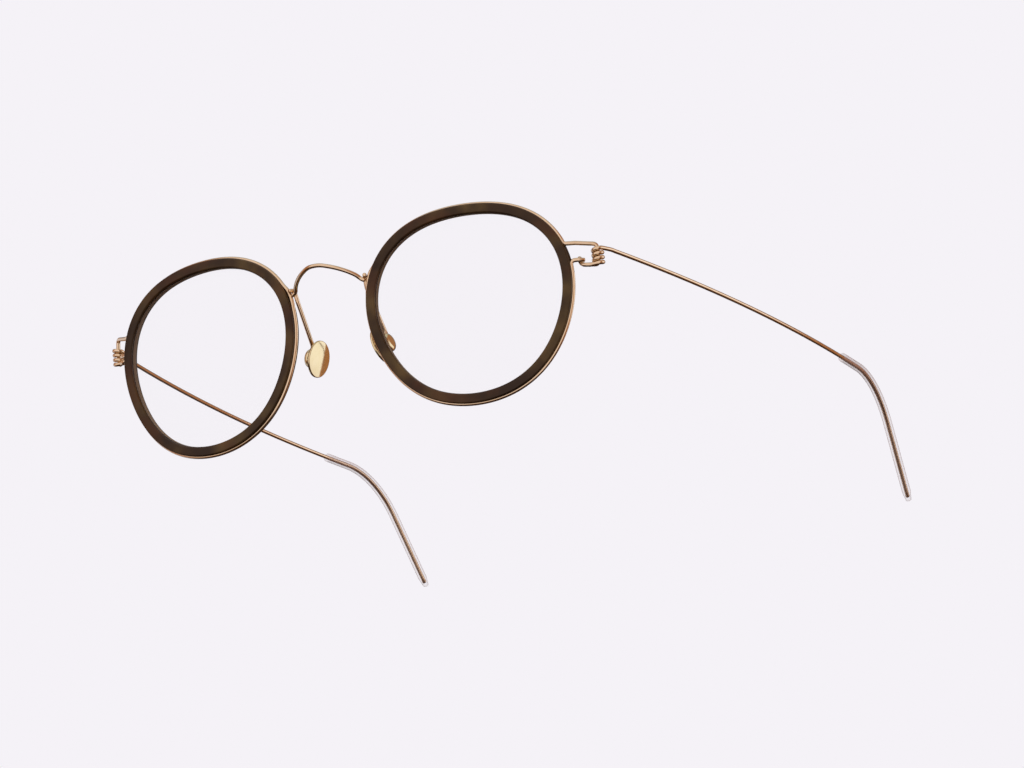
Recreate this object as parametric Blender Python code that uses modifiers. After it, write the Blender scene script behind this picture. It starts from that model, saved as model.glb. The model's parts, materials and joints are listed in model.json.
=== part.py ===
"""Round wire-rimmed eyeglasses.

Two gold-coloured wires ring two dark horn-look inner rims, which hold clear lenses. A bridge wire is
wound once round each rim wire and runs on to a nose pad. Each temple is one wire whose end is coiled
round a pin bent from the rim wire, with a clear sleeve over the ear end.

Lengths are in metres. Everything is first placed in the frame of the front: X towards the wearer's
left, Y from the front of the glasses towards the face, Z up the lenses. An empty then tips the whole
so that the rims and the temple tips stand on the ground plane.
"""

import bpy
import bmesh
from math import atan2, ceil, cos, degrees, hypot, pi, radians, sin
from mathutils import Matrix, Vector

# Wire and clearances
WIRE = 0.0009              # diameter of every wire
PIECE_GAP = 0.0003         # between two pieces that touch on the real glasses
COIL_GAP = 0.0005          # between neighbouring turns of one wire

# Outline of the rims, as a radius that varies with the angle from the temple side
RIM_RADIUS = 0.0225
OVAL = 0.00105             # wider than high
SLANT = -0.00023           # leans the long axis
PANTO = 0.00061            # fuller at the top, narrower at the foot
SQUARE = -0.00021          # flattens the four sides
CROWN = 0.00008            # tightens the upper corners
RIM_STEPS = 60

# Inner rims
RIM_WIDTH = 0.0021         # front face, from outer edge to lens opening
RIM_DEPTH = 0.0024         # front to back
RIM_GAP = 0.0186           # between the two rims at their nearest
FACE_WRAP = radians(6.2)   # each rim's outer edge is swept back by this
RIM_BOW = 0.026            # the rim's sides bend back and its top and foot bend forward
LENS_GROOVE = 0.0005       # depth of the groove that holds the lens
EDGE_CHAMFER = 0.00025

# Lenses
LENS_THICKNESS = 0.0014
LENS_CURVE = 0.115         # radius of the lens surface
LENS_FIT = 0.00025         # between the lens edge and its groove
LENS_FIELD = RIM_RADIUS - RIM_WIDTH - LENS_FIT     # radius of the lens before its bevelled edge
LENS_RINGS = 3             # rings of faces from the middle of the lens to its edge
GROOVE_MOUTH = LENS_THICKNESS * 0.4                # half the lens groove's width at its mouth
GROOVE_FLOOR = LENS_THICKNESS * 0.18               # half its width at the bottom

# Wire ends beside each temple hinge
UPPER_EXIT = radians(21.5) # where the rim wire leaves the outline for the hinge pin
LOWER_EXIT = radians(9.5)  # where its other end leaves the outline
PIN_OUT = 0.0043           # from the rim's outer edge to the pin
PIN_BACK = 0.0050          # from the front of the rim's outer edge to the pin
ARM_OVER_LEFT = 0.00085    # arm above the height where the left temple leaves its coil
ARM_OVER_RIGHT = 0.0022    # the right pin is longer
BEND = 0.0009              # centre line radius of a sharp bend
HOOK_START = radians(-50)  # where the closing hook begins, round the free end
HOOK_SWEEP = radians(230)
HOOK_STEPS = 7

# Temple wires
COIL_TURNS = 2
COIL_STEPS = 10            # points for each turn
COIL_TAIL = 0.0010         # straight end of the coil
TAIL_SPLAY = radians(20)   # the tail leans away from the coil
TEMPLE_HEIGHT = 0.0074     # above the lens centres, where the wire leaves the coil
TEMPLE_YAW = radians(10)   # outward lean at the hinge
TEMPLE_DROP = radians(6.4)
TEMPLE_BOW = 0.5           # radius of the long inward bow
TEMPLE_STRAIGHT = 0.1121   # hinge to ear bend
EAR_ARC = 0.0214
EAR_TURN = radians(51)
EAR_TUCK = radians(4.6)    # inward turn over the ear bend
TEMPLE_END = 0.019         # straight end behind the ear
TEMPLE_STEP = 0.0075       # spacing of the points on the long stretches
BEND_STEP = 0.0027         # spacing round the ear bend

# Sleeves on the temple ends
SLEEVE_LENGTH = 0.0505
SLEEVE_RADIUS = 0.00105
SLEEVE_BORE_GAP = 0.0002   # between the wire and the sleeve's bore
SLEEVE_TIP = 0.0010        # sleeve beyond the end of the wire
TIP_DOME = ((0.6, 1.0), (0.25, 0.8), (0.0, 0.45))  # way back from the tip and radius, in sleeve radii

# Bridge wire
JOINT_ANGLE = radians(159.5)  # where the bridge is wound round each rim wire
JOINT_BULGE = 0.0008       # the rim wire stands off the rim there
JOINT_SPAN = radians(12)   # half the length of that bulge
CURL_CLEARANCE = 0.0002    # between the curl and the rim wire
NOTCH_SIDES = 16           # of the cutter that clears the curl from the rim
BRIDGE_RISE = 0.0037
BRIDGE_FORWARD = 0.0059
ARCH_FULLNESS = 1.34       # power of the arch seen from the front
ARCH_SWEEP = 1.56          # power of its forward reach
ARCH_STEPS = 20

# Nose pads
PAD_RADIUS = 0.0040
PAD_THICKNESS = 0.0005
PAD_BEVEL = PAD_THICKNESS / 4
PAD_OUT = 0.0076           # pad centre from the middle of the bridge
PAD_BACK = 0.0054
PAD_DOWN = 0.0046
PAD_LEAN = radians(14)     # the pads part towards their lower ends
PIVOT_DEPTH = 0.0022       # from the nose face to the wire that the pad rocks on
ARM_BEND = 0.0016          # bend of the pad arm above the cup
CUP_RADIUS = 0.0023
ARM_END = CUP_RADIUS / 3   # the wire's end below the pivot
CUP_HEIGHT = 0.0022
CUP_WALL = 0.00035
CUP_FLOOR = 0.0003
PLATE_GAP = 0.0001         # between the plate and its cup, which are soldered together
PAD_STEPS = 24

SMOOTH_BELOW = radians(40) # faces that meet at less than this are shaded as one
LEVELLING_ROUNDS = 4       # tries to stand the glasses level

HORN = ("horn_brown", (0.055, 0.032, 0.022, 1.0), 0.35, 0.0)
GOLD = ("gold_wire", (0.78, 0.47, 0.25, 1.0), 0.18, 1.0)
PAD_GOLD = ("pad_gold", (0.85, 0.62, 0.35, 1.0), 0.12, 1.0)
CLEAR = ("lens_clear", (0.97, 0.98, 0.98, 0.15), 0.02, 0.0)
SILICONE = ("sleeve_clear", (0.80, 0.66, 0.64, 0.4), 0.3, 0.0)

LEFT = 1
RIGHT = -1
SIDE_NAMES = {LEFT: "left", RIGHT: "right"}
MID_DEPTH = RIM_DEPTH / 2


# Scene, materials and small helpers

def clear_scene():
    for item in list(bpy.data.objects):
        bpy.data.objects.remove(item, do_unlink=True)


def new_collection(name):
    group = bpy.data.collections.new(name)
    bpy.context.scene.collection.children.link(group)
    return group


def material(spec):
    name, colour, roughness, metallic = spec
    found = bpy.data.materials.get(name)
    if found:
        return found
    made = bpy.data.materials.new(name)
    made.use_nodes = True
    shader = made.node_tree.nodes["Principled BSDF"]
    shader.inputs["Base Color"].default_value = colour
    shader.inputs["Roughness"].default_value = roughness
    shader.inputs["Metallic"].default_value = metallic
    shader.inputs["Alpha"].default_value = colour[3]
    return made


def add_object(name, data, finish, group):
    item = bpy.data.objects.new(name, data)
    data.materials.clear()
    data.materials.append(material(finish))
    group.objects.link(item)
    return item


def mirrored(points, side):
    return [Vector((side * p.x, p.y, p.z)) for p in points]


def evaluated_mesh(item):
    bpy.context.view_layer.update()
    state = item.evaluated_get(bpy.context.evaluated_depsgraph_get())
    return bpy.data.meshes.new_from_object(state)


def welded(mesh):
    """Joins loose caps and seams and turns every face outwards."""
    shape = bmesh.new()
    shape.from_mesh(mesh)
    bmesh.ops.remove_doubles(shape, verts=shape.verts, dist=1e-7)
    bmesh.ops.recalc_face_normals(shape, faces=shape.faces)
    shape.to_mesh(mesh)
    shape.free()
    return mesh


def smooth_round(mesh):
    mesh.shade_smooth()
    mesh.set_sharp_from_angle(angle=SMOOTH_BELOW)


def wire_curve(name, points, radius, resolution=2, tapers=None):
    """A round wire along the points; tapers scales the radius at the last few points."""
    curve = bpy.data.curves.new(name, "CURVE")
    curve.dimensions = "3D"
    curve.bevel_depth = radius
    curve.bevel_resolution = resolution
    curve.use_fill_caps = True
    line = curve.splines.new("POLY")
    line.points.add(len(points) - 1)
    for knot, place in zip(line.points, points):
        knot.co = (*place, 1.0)
    for knot, scale in zip(reversed(line.points), reversed(tapers or [])):
        knot.radius = scale
    return curve


def rounded(corners, radius, steps=3):
    """The open path through the corners, with each inner corner turned on an arc."""
    path = [corners[0]]
    for before, corner, after in zip(corners, corners[1:], corners[2:]):
        towards = (before - corner).normalized()
        away = (after - corner).normalized()
        half = towards.angle(away) / 2
        room = min((before - corner).length, (after - corner).length) / 2
        reach = min(radius / max(sin(half) / cos(half), 1e-6), room)
        middle = corner + (towards + away).normalized() * (reach / cos(half))
        start = corner + towards * reach
        end = corner + away * reach
        axis = (start - middle).cross(end - middle)
        sweep = (start - middle).angle(end - middle)
        for step in range(steps + 1):
            turn = Matrix.Rotation(sweep * step / steps, 3, axis)
            path.append(middle + turn @ (start - middle))
    path.append(corners[-1])
    return path


# Outline of the rims

def outline_radius(angle):
    return (RIM_RADIUS + OVAL * cos(2 * angle) + SLANT * sin(2 * angle)
            + PANTO * sin(3 * angle) + SQUARE * cos(4 * angle) + CROWN * sin(5 * angle))


def outline_point(angle):
    radius = outline_radius(angle)
    return Vector((radius * cos(angle), radius * sin(angle)))


def outline_normal(angle):
    """Outward normal of the outline, from two nearby points."""
    nearby = radians(0.5)
    along = outline_point(angle + nearby) - outline_point(angle - nearby)
    return Vector((along.y, -along.x)).normalized()


def lens_centre_x():
    nasal = outline_radius(pi)
    return RIM_GAP / 2 + nasal * cos(FACE_WRAP)


def from_rim_plane(across, up, depth):
    """A place given in the left rim's own plane, bent with the rim and swept back."""
    back = depth + RIM_BOW * (across ** 2 - up ** 2) / (2 * RIM_RADIUS)
    return Vector((
        lens_centre_x() + across * cos(FACE_WRAP) - back * sin(FACE_WRAP),
        across * sin(FACE_WRAP) + back * cos(FACE_WRAP),
        up,
    ))


def rim_point(angle, inset, depth):
    """A place on the left rim: inset from the outline, and depth behind its front face."""
    flat = outline_point(angle) - outline_normal(angle) * inset
    return from_rim_plane(flat.x, flat.y, depth)


def rim_axes(angle):
    """Outward normal, backward axis and upward tangent of the left rim at an angle."""
    flat = outline_normal(angle)
    outward = Vector((flat.x * cos(FACE_WRAP), flat.x * sin(FACE_WRAP), flat.y))
    backward = Vector((-sin(FACE_WRAP), cos(FACE_WRAP), 0.0))
    return outward, backward, outward.cross(backward)


def joint_stand_off(angle):
    """How far the rim wire stands off the outline at this angle, for the bridge curl."""
    away = abs((angle - JOINT_ANGLE + pi) % (2 * pi) - pi)
    if away >= JOINT_SPAN:
        return 0.0
    return JOINT_BULGE * cos(pi / 2 * away / JOINT_SPAN) ** 2


# Turned pieces, drawn from a round to the outline

def turned(name, profile, steps, group):
    """A piece turned from (radius, depth) points, as a mesh; depth runs along Z.

    A profile that starts on the axis ends there too; any other profile is closed into a ring.
    """
    mesh = bpy.data.meshes.new(name)
    count = len(profile)
    edges = [(n, n + 1) for n in range(count - 1)]
    if profile[0][0] > 0.0:
        edges.append((count - 1, 0))
    mesh.from_pydata([(radius, 0.0, depth) for radius, depth in profile], edges, [])
    item = bpy.data.objects.new(name, mesh)
    group.objects.link(item)
    screw = item.modifiers.new("turn", "SCREW")
    screw.axis = "Z"
    screw.angle = 2 * pi
    screw.steps = screw.render_steps = steps
    screw.use_merge_vertices = True
    screw.merge_threshold = 1e-6
    made = evaluated_mesh(item)
    bpy.data.objects.remove(item, do_unlink=True)
    return made


def drawn_to_outline(mesh, side):
    """Moves each point of a turned piece from its round place to the same place on the rim."""
    for vertex in mesh.vertices:
        across, along, depth = vertex.co
        radius = hypot(across, along)
        angle = atan2(along, across)
        share = min(radius / LENS_FIELD, 1.0)
        inset = RIM_RADIUS - max(radius, LENS_FIELD)
        flat = (outline_point(angle) - outline_normal(angle) * inset) * share
        place = from_rim_plane(flat.x, flat.y, depth)
        vertex.co = (side * place.x, place.y, place.z)
    return welded(mesh)


def groove_arc(steps=4):
    """Points of the round groove for the rim wire, from back to front."""
    radius = WIRE / 2 + PIECE_GAP
    return [(RIM_RADIUS - radius * sin(pi * n / steps), MID_DEPTH + radius * cos(pi * n / steps))
            for n in range(steps + 1)]


def make_inner_rim(side, group, cutters):
    opening = RIM_RADIUS - RIM_WIDTH
    profile = [
        (RIM_RADIUS, 0.0),
        (opening + EDGE_CHAMFER, 0.0),
        (opening, EDGE_CHAMFER),
        (opening, MID_DEPTH - GROOVE_MOUTH),
        (opening + LENS_GROOVE, MID_DEPTH - GROOVE_FLOOR),
        (opening + LENS_GROOVE, MID_DEPTH + GROOVE_FLOOR),
        (opening, MID_DEPTH + GROOVE_MOUTH),
        (opening, RIM_DEPTH - EDGE_CHAMFER),
        (opening + EDGE_CHAMFER, RIM_DEPTH),
        (RIM_RADIUS, RIM_DEPTH),
    ] + groove_arc()
    name = SIDE_NAMES[side] + "_inner_rim"
    mesh = drawn_to_outline(turned(name, profile, RIM_STEPS, cutters), side)
    item = add_object(name, mesh, HORN, group)
    notch = joint_notch(side, cutters)
    cut = item.modifiers.new("curl_notch", "BOOLEAN")
    cut.operation = "DIFFERENCE"
    cut.solver = "EXACT"
    cut.object = notch
    smooth_round(mesh)
    return item


def joint_notch(side, cutters):
    """The cutter that clears the bridge curl from the rim's outer edge."""
    name = SIDE_NAMES[side] + "_curl_cutter"
    centre, outward, backward, upward = joint_axes()
    shape = bmesh.new()
    bmesh.ops.create_cone(shape, cap_ends=True, segments=NOTCH_SIDES, radius1=notch_radius(),
                          radius2=notch_radius(), depth=2 * notch_half_length())
    frame = Matrix((outward, backward, upward)).transposed().to_4x4()
    frame.translation = centre - upward * (curl_pitch() / 2)
    bmesh.ops.transform(shape, matrix=frame, verts=shape.verts)
    bmesh.ops.transform(shape, matrix=Matrix.Diagonal((side, 1, 1, 1)), verts=shape.verts)
    mesh = bpy.data.meshes.new(name)
    shape.to_mesh(mesh)
    shape.free()
    cutter = bpy.data.objects.new(name, welded(mesh))
    cutter.hide_render = True
    cutter.display_type = "WIRE"
    cutters.objects.link(cutter)
    return cutter


def make_lens(side, group, cutters):
    half = LENS_THICKNESS / 2
    tip = RIM_RADIUS - RIM_WIDTH + LENS_GROOVE - LENS_FIT
    front = []
    for n in range(LENS_RINGS + 1):
        radius = LENS_FIELD * n / LENS_RINGS
        front.append((radius, MID_DEPTH + (radius ** 2 - LENS_FIELD ** 2) / (2 * LENS_CURVE)))
    outer = [(radius, depth - half) for radius, depth in front]
    inner = [(radius, depth + half) for radius, depth in reversed(front)]
    profile = outer + [(tip, MID_DEPTH)] + inner
    name = SIDE_NAMES[side] + "_lens"
    mesh = drawn_to_outline(turned(name, profile, RIM_STEPS, cutters), side)
    smooth_round(mesh)
    return add_object(name, mesh, CLEAR, group)


# Hinge places, all on the left side

def pin_place():
    """The hinge pin's axis, at the height of the lens centres."""
    outer = rim_point(0.0, 0.0, 0.0)
    return Vector((outer.x + PIN_OUT, outer.y + PIN_BACK, 0.0))


def coil_radius():
    return WIRE + PIECE_GAP


def coil_pitch():
    return WIRE + COIL_GAP


def coil_sweep():
    """Angle the coil turns through, from its tail at the front to the temple."""
    return 2 * pi * COIL_TURNS + pi / 2 - TEMPLE_YAW


def coil_foot():
    """Height of the coil's tail."""
    return TEMPLE_HEIGHT - coil_pitch() * coil_sweep() / (2 * pi)


def tail_end():
    """Where the coil's tail ends, from the pin's axis."""
    return Vector((-COIL_TAIL * cos(TAIL_SPLAY), -coil_radius() - COIL_TAIL * sin(TAIL_SPLAY), coil_foot()))


def pin_head(side):
    return TEMPLE_HEIGHT + (ARM_OVER_LEFT if side == LEFT else ARM_OVER_RIGHT)


def pin_foot():
    return coil_foot() - WIRE - PIECE_GAP


def rim_wire_path(side):
    """Centre line of the left rim wire, from its lower end round the rim to the closing hook."""
    pin = pin_place()
    lower = rim_point(LOWER_EXIT, 0.0, MID_DEPTH)
    upper = rim_point(UPPER_EXIT, 0.0, MID_DEPTH)
    loop_radius = WIRE + PIECE_GAP
    eye = Vector((pin.x, pin.y, pin_foot() + loop_radius))
    inward = (lower - eye).normalized()
    tail_reach = tail_end().xy.length + WIRE / 2
    end = eye + inward * (tail_reach + PIECE_GAP)
    station = end + inward * (WIRE / 2 + PIECE_GAP)

    step = 2 * pi / RIM_STEPS
    ring = []
    angle = LOWER_EXIT
    last = UPPER_EXIT - 2 * pi
    while angle > last + step / 4:
        ring.append(rim_point(angle, -joint_stand_off(angle), MID_DEPTH))
        near_joint = joint_stand_off(angle - step / 2) > 0.0
        stride = step / 2 if near_joint else step
        angle = (ceil(round(angle / stride, 3)) - 1) * stride
    lead = rounded([end, lower, ring[1]], BEND, 2)[:-1]

    head = Vector((pin.x, pin.y, pin_head(side)))
    foot = Vector((pin.x, pin.y, pin_foot()))
    below = station - Vector((0.0, 0.0, loop_radius))
    backward = Vector((0.0, 0.0, 1.0)).cross(inward).normalized()
    if backward.y < 0.0:
        backward.negate()
    hook = []
    for n in range(HOOK_STEPS + 1):
        turn = HOOK_START + HOOK_SWEEP * n / HOOK_STEPS
        hook.append(station + loop_radius * (backward * cos(turn) + Vector((0, 0, sin(turn)))))
    pin_part = rounded([ring[-1], upper, head, foot, below, hook[0]], BEND)
    return lead + ring[1:-1] + pin_part + hook[1:]


def make_rim_wire(side, group):
    path = mirrored(rim_wire_path(side), side)
    name = SIDE_NAMES[side] + "_rim_wire"
    return add_object(name, wire_curve(name, path, WIRE / 2), GOLD, group)


# Temples

def coil_path():
    """The tail and the turns, from the foot up to where the temple leaves."""
    pin = pin_place()
    radius = coil_radius()
    start = -pi / 2
    steps = ceil(COIL_STEPS * coil_sweep() / (2 * pi))
    path = [pin + tail_end()]
    for n in range(steps + 1):
        share = n / steps
        angle = start + coil_sweep() * share
        rise = coil_pitch() * coil_sweep() / (2 * pi) * share
        path.append(pin + Vector((radius * cos(angle), radius * sin(angle), coil_foot() + rise)))
    return path


def heading(yaw, drop):
    return Vector((sin(yaw) * cos(drop), cos(yaw) * cos(drop), -sin(drop)))


def temple_path():
    """Centre line from the coil to the tip, by walking along it with a slowly changing heading."""
    place = coil_path()[-1]
    path = []
    stretches = [
        (TEMPLE_STRAIGHT, TEMPLE_STEP, -TEMPLE_STRAIGHT / TEMPLE_BOW, 0.0),
        (EAR_ARC, BEND_STEP, -EAR_TUCK, EAR_TURN),
        (TEMPLE_END, TEMPLE_STEP, 0.0, 0.0),
    ]
    yaw = TEMPLE_YAW
    drop = TEMPLE_DROP
    for length, spacing, yaw_change, drop_change in stretches:
        count = ceil(length / spacing)
        for n in range(count):
            middle = (n + 0.5) / count
            way = heading(yaw + yaw_change * middle, drop + drop_change * middle)
            place = place + way * (length / count)
            path.append(place)
        yaw += yaw_change
        drop += drop_change
    return path


def least_gap(path, diameter, skip):
    """The least space between stretches of one wire that are more than skip apart along it."""
    least = None
    samples = 6
    fine = []
    travelled = 0.0
    for here, there in zip(path, path[1:]):
        for n in range(samples):
            fine.append((travelled + (there - here).length * n / samples, here.lerp(there, n / samples)))
        travelled += (there - here).length
    for index, (run, place) in enumerate(fine):
        for other_run, other in fine[index + 1:]:
            if other_run - run > skip:
                gap = (place - other).length - diameter
                least = gap if least is None else min(least, gap)
    return least


def make_temple_wire(side, group):
    coil = coil_path()
    path = mirrored(coil + temple_path(), side)
    name = SIDE_NAMES[side] + "_temple_wire"
    half_turn = pi * coil_radius()
    print(name, "coil: least gap to itself", round(least_gap(coil, WIRE, half_turn) * 1000, 3), "mm")
    return add_object(name, wire_curve(name, path, WIRE / 2, resolution=1), GOLD, group)


def sleeve_path():
    """The part of the temple's centre line that the sleeve covers, and the tip beyond it."""
    whole = temple_path()
    left = SLEEVE_LENGTH - SLEEVE_TIP
    covered = [whole[-1]]
    for here, before in zip(reversed(whole), reversed(whole[:-1])):
        span = (before - here).length
        if span >= left:
            covered.append(here.lerp(before, left / span))
            break
        covered.append(before)
        left -= span
    covered.reverse()
    return covered


def make_sleeve(side, group, cutters):
    name = SIDE_NAMES[side] + "_temple_sleeve"
    covered = sleeve_path()
    on = (covered[-1] - covered[-2]).normalized()
    tip = covered[-1] + on * SLEEVE_TIP
    dome = [tip - on * (SLEEVE_RADIUS * way_back) for way_back, _ in TIP_DOME]
    tapers = [scale for _, scale in TIP_DOME]
    skin = wire_curve(name, mirrored(covered[:-1] + dome, side), SLEEVE_RADIUS, tapers=tapers)

    back = (covered[0] - covered[1]).normalized()
    mouth = covered[0] + back * SLEEVE_TIP
    blind_end = covered[-1] + on * SLEEVE_BORE_GAP
    bore_path = [mouth] + covered[:-1] + [blind_end]
    bore = wire_curve(name + "_bore", mirrored(bore_path, side), WIRE / 2 + SLEEVE_BORE_GAP)

    meshes = []
    for curve in (skin, bore):
        draft = bpy.data.objects.new(curve.name, curve)
        cutters.objects.link(draft)
        meshes.append(welded(evaluated_mesh(draft)))
        bpy.data.objects.remove(draft, do_unlink=True)
    item = add_object(name, meshes[0], SILICONE, group)
    cutter = bpy.data.objects.new(name + "_bore", meshes[1])
    cutter.hide_render = True
    cutter.display_type = "WIRE"
    cutters.objects.link(cutter)
    cut = item.modifiers.new("bore", "BOOLEAN")
    cut.operation = "DIFFERENCE"
    cut.solver = "EXACT"
    cut.object = cutter
    smooth_round(meshes[0])
    return item


# Bridge and nose pads

def curl_radius():
    return WIRE + CURL_CLEARANCE


def curl_pitch():
    return WIRE + COIL_GAP


def notch_radius():
    return curl_radius() + WIRE / 2 + PIECE_GAP


def notch_half_length():
    return (curl_pitch() + WIRE) / 2 + PIECE_GAP


def joint_axes():
    """Centre of the bridge's curl on the left rim wire, with the rim's axes there."""
    centre = rim_point(JOINT_ANGLE, -JOINT_BULGE, MID_DEPTH)
    outward, backward, tangent = rim_axes(JOINT_ANGLE)
    upward = tangent if tangent.z > 0.0 else -tangent
    return centre, outward, backward, upward


def pad_axes():
    """Left pad: centre of its nose face, the normal away from the nose, and its upward axis."""
    centre = Vector((PAD_OUT, PAD_BACK, -PAD_DOWN))
    away = Vector((cos(PAD_LEAN), 0.0, sin(PAD_LEAN)))
    upward = Vector((-sin(PAD_LEAN), 0.0, cos(PAD_LEAN)))
    return centre, away, upward


def pad_pivot():
    """The line that the left pad rocks about: a place in its cup, and a direction."""
    centre, away, upward = pad_axes()
    return centre + away * PIVOT_DEPTH, upward


def arch_path():
    """The arch from the middle of the bridge to the left joint."""
    centre, outward, _, _ = joint_axes()
    foot = centre + outward * curl_radius()
    path = []
    for n in range(ARCH_STEPS // 2):
        angle = pi / 2 * (1 - n / (ARCH_STEPS / 2))
        rise = sin(angle)
        path.append(Vector((
            foot.x * cos(angle) ** ARCH_FULLNESS,
            foot.y - BRIDGE_FORWARD * rise ** ARCH_SWEEP,
            foot.z + BRIDGE_RISE * rise ** ARCH_FULLNESS,
        )))
    return path


def curl_path():
    """One turn of the bridge wire round the left rim wire, from the arch to the pad arm."""
    centre, outward, backward, upward = joint_axes()
    path = []
    for n in range(COIL_STEPS + 1):
        share = n / COIL_STEPS
        angle = 2 * pi * share
        spoke = outward * cos(angle) + backward * sin(angle)
        path.append(centre + spoke * curl_radius() - upward * (curl_pitch() * share))
    return path


def pad_arm_path():
    """From the end of the curl down to the wire's end in the pad's cup."""
    pivot, upward = pad_pivot()
    curl = curl_path()
    elbow = pivot + upward * CUP_RADIUS
    end = pivot - upward * ARM_END
    leaving = rounded([curl[-2], curl[-1], elbow], BEND)[1:-1]
    return leaving + rounded([curl[-1], elbow, end], ARM_BEND, 4)[1:]


def make_bridge_wire(group):
    half = arch_path() + curl_path()[:-1] + pad_arm_path()
    path = mirrored(reversed(half[1:]), RIGHT) + half
    gap = least_gap(half, WIRE, pi * curl_radius())
    print("bridge wire: least gap to itself", round(gap * 1000, 3), "mm")
    return add_object("bridge_wire", wire_curve("bridge_wire", path, WIRE / 2), GOLD, group)


def pad_frame(side):
    """Moves a piece turned about Z, standing on the nose face, to its pad."""
    centre, away, upward = pad_axes()
    frame = Matrix((upward, away.cross(upward), away)).transposed().to_4x4()
    frame.translation = centre
    return Matrix.Diagonal((side, 1, 1, 1)) @ frame


def make_pad_plate(side, group, cutters):
    name = SIDE_NAMES[side] + "_pad_plate"
    profile = [
        (0.0, 0.0),
        (PAD_RADIUS - PAD_BEVEL, 0.0),
        (PAD_RADIUS, PAD_BEVEL),
        (PAD_RADIUS, PAD_THICKNESS - PAD_BEVEL),
        (PAD_RADIUS - PAD_BEVEL, PAD_THICKNESS),
        (0.0, PAD_THICKNESS),
    ]
    mesh = turned(name, profile, PAD_STEPS, cutters)
    mesh.transform(pad_frame(side))
    smooth_round(welded(mesh))
    return add_object(name, mesh, PAD_GOLD, group)


def make_pad_cup(side, group, cutters):
    """The cup on the back of the pad, slotted at the top for the wire that it rocks on."""
    name = SIDE_NAMES[side] + "_pad_cup"
    base = PAD_THICKNESS + PLATE_GAP
    floor = base + CUP_FLOOR
    top = base + CUP_HEIGHT
    bore = CUP_RADIUS - CUP_WALL
    profile = [(0.0, base), (CUP_RADIUS, base), (CUP_RADIUS, top), (bore, top), (bore, floor), (0.0, floor)]
    mesh = turned(name, profile, PAD_STEPS, cutters)
    mesh.transform(pad_frame(side))
    item = add_object(name, welded(mesh), PAD_GOLD, group)

    slot_width = WIRE + 2 * PIECE_GAP
    slot_floor = PIVOT_DEPTH - WIRE / 2 - PIECE_GAP
    slot = bmesh.new()
    bmesh.ops.create_cube(slot, size=1.0)
    bmesh.ops.scale(slot, vec=(CUP_RADIUS, slot_width, CUP_HEIGHT), verts=slot.verts)
    bmesh.ops.translate(slot, vec=(CUP_RADIUS, 0, slot_floor + CUP_HEIGHT / 2), verts=slot.verts)
    bmesh.ops.transform(slot, matrix=pad_frame(side), verts=slot.verts)
    cutter_mesh = bpy.data.meshes.new(name + "_slot")
    slot.to_mesh(cutter_mesh)
    slot.free()
    cutter = bpy.data.objects.new(name + "_slot", welded(cutter_mesh))
    cutter.hide_render = True
    cutter.display_type = "WIRE"
    cutters.objects.link(cutter)
    cut = item.modifiers.new("wire_slot", "BOOLEAN")
    cut.operation = "DIFFERENCE"
    cut.solver = "EXACT"
    cut.object = cutter
    smooth_round(item.data)
    return item


# Joint empties and standing the glasses on the ground

def add_empty(name, place, group, parent=None):
    empty = bpy.data.objects.new(name, None)
    empty.location = place
    empty.empty_display_size = 0.005
    group.objects.link(empty)
    if parent:
        empty.parent = parent
    return empty


def hang(item, parent):
    """Parents a piece whose mesh is in the front's frame, keeping it where it is."""
    item.parent = parent
    item.matrix_parent_inverse = parent.matrix_basis.inverted()


def lowest(items, stand):
    """The lowest point of the pieces for the stand's tip angle, as height and distance back."""
    best = None
    for item in items:
        state = item.evaluated_get(bpy.context.evaluated_depsgraph_get())
        mesh = state.to_mesh()
        for vertex in mesh.vertices:
            place = stand.matrix_world.inverted() @ (state.matrix_world @ vertex.co)
            height = place.z * cos(stand.rotation_euler.x) + place.y * sin(stand.rotation_euler.x)
            if best is None or height < best[0]:
                best = (height, place.y, place.z)
        state.to_mesh_clear()
    return best


def stand_on_ground(stand, front_pieces, tip_pieces, pieces):
    """Tips the stand until rims and temple tips are level, then sets its origin under the middle."""
    for _ in range(LEVELLING_ROUNDS):
        bpy.context.view_layer.update()
        front = lowest(front_pieces, stand)
        tips = lowest(tip_pieces, stand)
        stand.rotation_euler.x = atan2(front[2] - tips[2], tips[1] - front[1])
    bpy.context.view_layer.update()
    corners = []
    for item in pieces:
        state = item.evaluated_get(bpy.context.evaluated_depsgraph_get())
        mesh = state.to_mesh()
        corners.extend(state.matrix_world @ vertex.co for vertex in mesh.vertices)
        state.to_mesh_clear()
    low = Vector([min(place[axis] for place in corners) for axis in range(3)])
    high = Vector([max(place[axis] for place in corners) for axis in range(3)])
    stand.location -= Vector(((low.x + high.x) / 2, (low.y + high.y) / 2, low.z))
    bpy.context.view_layer.update()
    print("tipped", round(degrees(stand.rotation_euler.x), 3), "degrees; size in mm",
          [round(size * 1000, 2) for size in high - low])


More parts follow.
